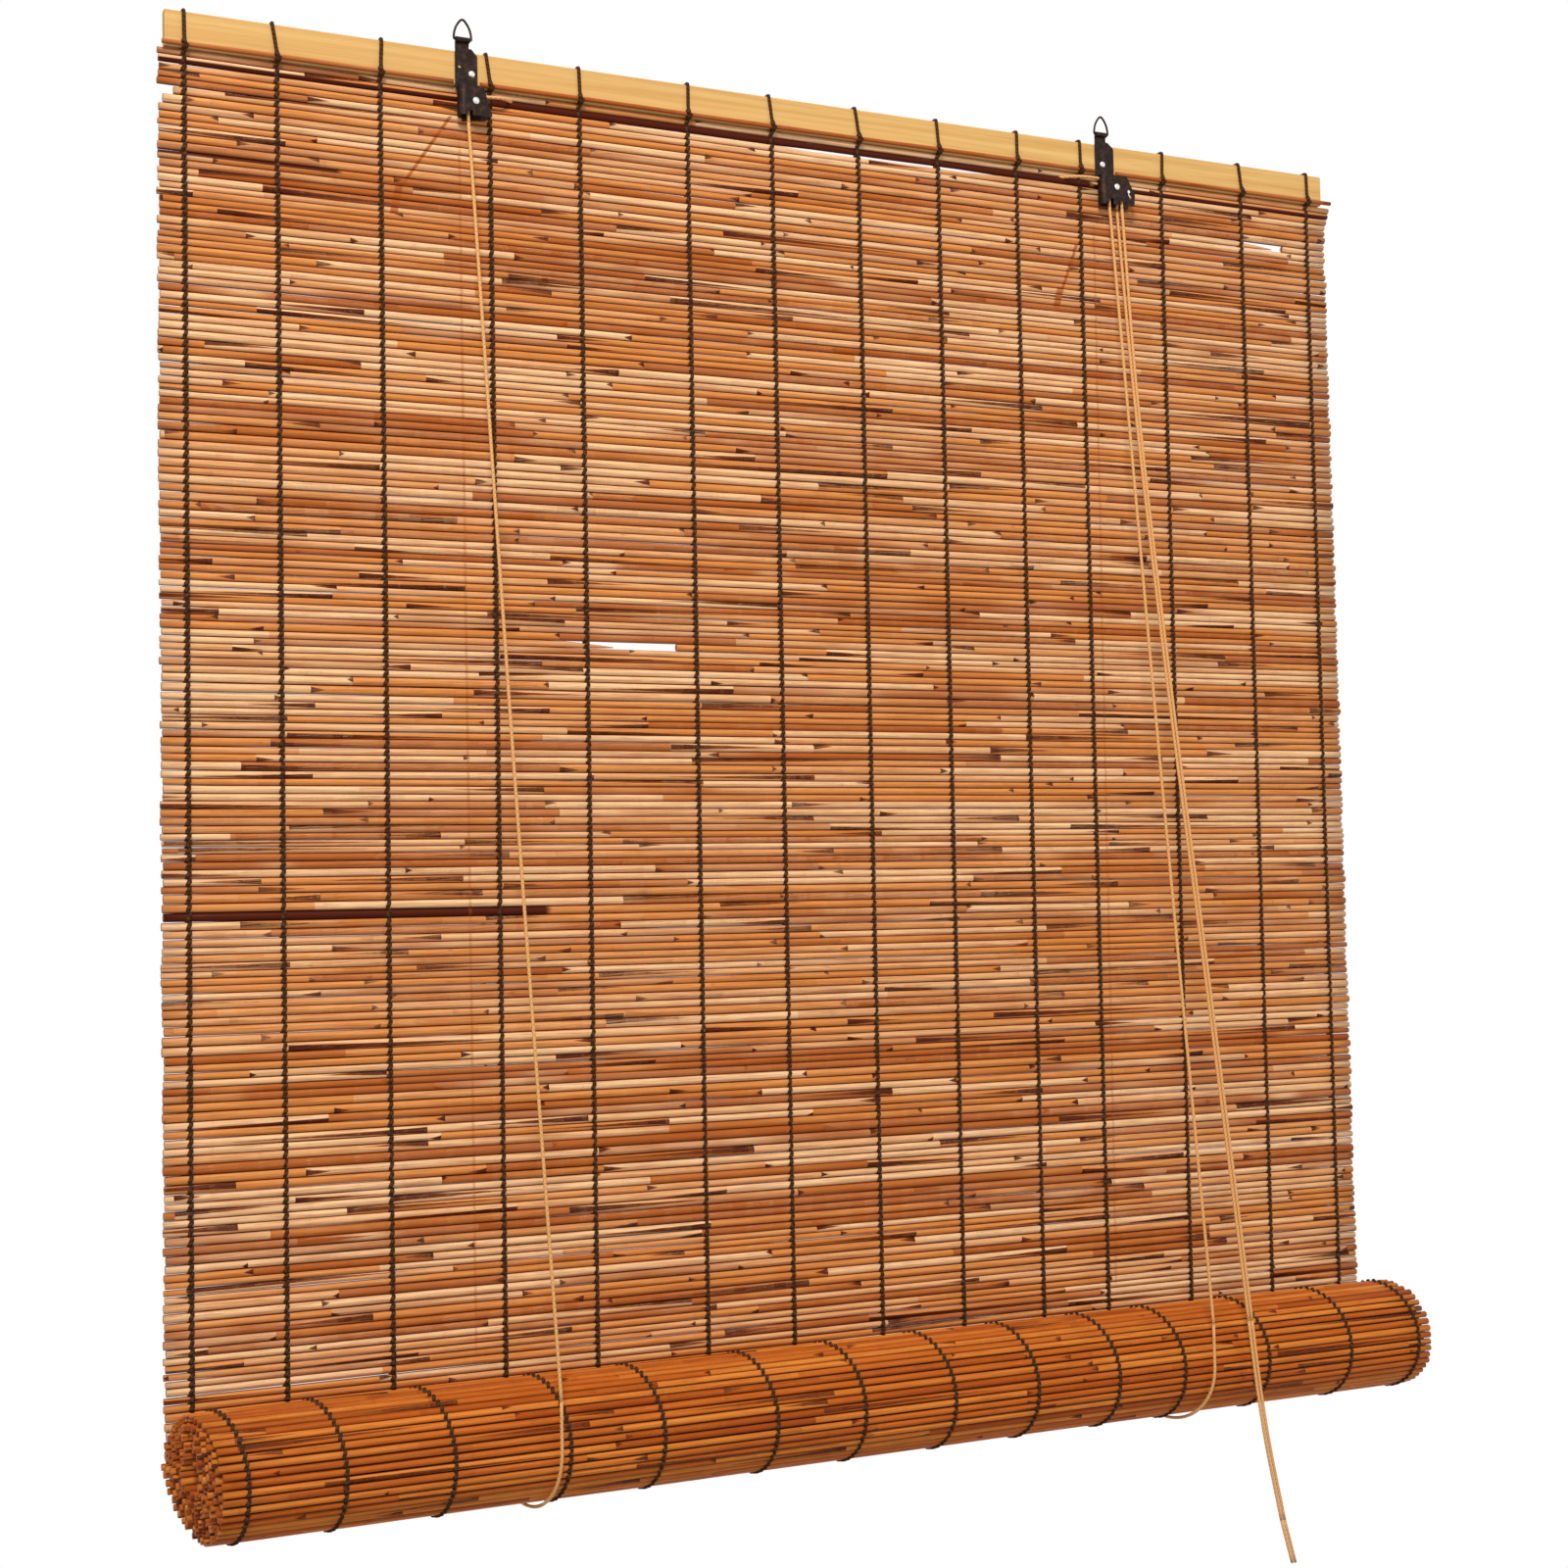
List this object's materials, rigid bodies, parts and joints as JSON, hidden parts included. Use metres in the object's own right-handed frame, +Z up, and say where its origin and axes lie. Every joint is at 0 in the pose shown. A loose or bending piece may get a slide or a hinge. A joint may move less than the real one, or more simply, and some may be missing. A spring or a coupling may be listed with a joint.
{
  "type": "roll-up reed blind",
  "caption": "Roll-up blind of woven reed with a pine head batten, two pulley brackets on hanging rings, and lift cords round the rolled lower end.",
  "frame": {"origin": "Midway between the two hooks, on the hooks' top edge where the hanging rings rest, in the rings' plane", "axes": "+X to the right seen from the room, +Y from the room towards the window, through the mat's thickness, +Z up"},
  "size_m": [0.908, 0.0971, 1.0679],
  "materials": {
    "batten_pine": "planed pine, bare, pale yellow-tan with fine grain",
    "mat_reed": "bare split reed, tan with orange-brown and dark brown streaks",
    "roll_reed": "bare split reed seen in the roll, deeper orange-brown",
    "dark_twine": "very dark brown spun twine",
    "bronzed_sheet": "near-black bronze lacquer on sheet steel, satin",
    "pulley_steel": "turned steel, dull",
    "rivet_steel": "bright zinc-plated steel",
    "tan_cord": "tan braided cord"
  },
  "bodies": {
    "head": {"head_batten": "batten_pine", "reed_mat": "mat_reed", "warp_twine_01": "dark_twine", "warp_twine_02": "dark_twine", "warp_twine_03": "dark_twine", "warp_twine_04": "dark_twine", "warp_twine_05": "dark_twine", "warp_twine_06": "dark_twine", "warp_twine_07": "dark_twine", "warp_twine_08": "dark_twine", "warp_twine_09": "dark_twine", "warp_twine_10": "dark_twine", "warp_twine_11": "dark_twine", "warp_twine_12": "dark_twine", "warp_twine_13": "dark_twine", "warp_twine_14": "dark_twine", "left_bracket": "bronzed_sheet", "right_bracket": "bronzed_sheet", "pulley_axles": "rivet_steel", "fixing_rivets": "rivet_steel", "left_tied_end": "tan_cord", "right_tied_end": "tan_cord", "left_rear_cord": "tan_cord", "right_rear_cord": "tan_cord", "left_front_cord": "tan_cord", "right_front_cord": "tan_cord", "cross_cord": "tan_cord", "right_turn_cord": "tan_cord", "pull_cord_upper": "tan_cord"},
    "lift_loops": {"left_under_cord": "tan_cord", "right_under_cord": "tan_cord", "pull_cord_lower": "tan_cord"},
    "roll": {"mat_roll": "roll_reed", "roll_twine_01": "dark_twine", "roll_twine_02": "dark_twine", "roll_twine_03": "dark_twine", "roll_twine_04": "dark_twine", "roll_twine_05": "dark_twine", "roll_twine_06": "dark_twine", "roll_twine_07": "dark_twine", "roll_twine_08": "dark_twine", "roll_twine_09": "dark_twine", "roll_twine_10": "dark_twine", "roll_twine_11": "dark_twine", "roll_twine_12": "dark_twine", "roll_twine_13": "dark_twine", "roll_twine_14": "dark_twine"},
    "pull_ends": {"pull_cord_ends": "tan_cord"},
    "left_ring_body": {"left_ring": "bronzed_sheet"},
    "right_ring_body": {"right_ring": "bronzed_sheet"},
    "left_wheel": {"left_pulley": "pulley_steel"},
    "right_wheel": {"right_pulley": "pulley_steel"},
    "lock": {"lock_roller": "rivet_steel"}
  },
  "joints": [
    {"name": "roll_lift", "type": "slide", "parent": "head", "child": "lift_loops", "axis": [0, 0, 1], "range_m": [0, 0.8], "deforming": ["reed_mat", "warp_twine_01", "warp_twine_02", "warp_twine_03", "warp_twine_04", "warp_twine_05", "warp_twine_06", "warp_twine_07", "warp_twine_08", "warp_twine_09", "warp_twine_10", "warp_twine_11", "warp_twine_12", "warp_twine_13", "warp_twine_14", "left_rear_cord", "right_rear_cord", "left_front_cord", "right_front_cord", "pull_cord_upper"]},
    {"name": "roll_turn", "type": "hinge", "parent": "lift_loops", "child": "roll", "pos_m": [0, -0.03094, -0.9232], "axis": [1, 0, 0], "range_deg": [-1080, 0]},
    {"name": "pull_run", "type": "slide", "parent": "lift_loops", "child": "pull_ends", "axis": [0, 0, -1], "range_m": [0, 2.4], "deforming": ["pull_cord_lower"]},
    {"name": "left_ring_swing", "type": "hinge", "parent": "head", "child": "left_ring_body", "pos_m": [-0.25, 0, -0.0126], "axis": [1, 0, 0], "range_deg": [-100, 100]},
    {"name": "right_ring_swing", "type": "hinge", "parent": "head", "child": "right_ring_body", "pos_m": [0.25, 0, -0.0126], "axis": [1, 0, 0], "range_deg": [-100, 100]},
    {"name": "left_pulley_spin", "type": "hinge", "parent": "head", "child": "left_wheel", "pos_m": [-0.2434, -0.00294, -0.055], "axis": [0, 1, 0], "continuous": true},
    {"name": "right_pulley_spin", "type": "hinge", "parent": "head", "child": "right_wheel", "pos_m": [0.2585, -0.00294, -0.0537], "axis": [0, 1, 0], "continuous": true},
    {"name": "lock_slide", "type": "slide", "parent": "head", "child": "lock", "axis": [0.3256, 0, -0.9455], "range_m": [0, 0.0042]}
  ],
  "couplings": [
    {"joint": "roll_turn", "follows": "roll_lift", "rad_per_m": -23.562},
    {"joint": "pull_run", "follows": "roll_lift", "ratio": 3}
  ]
}
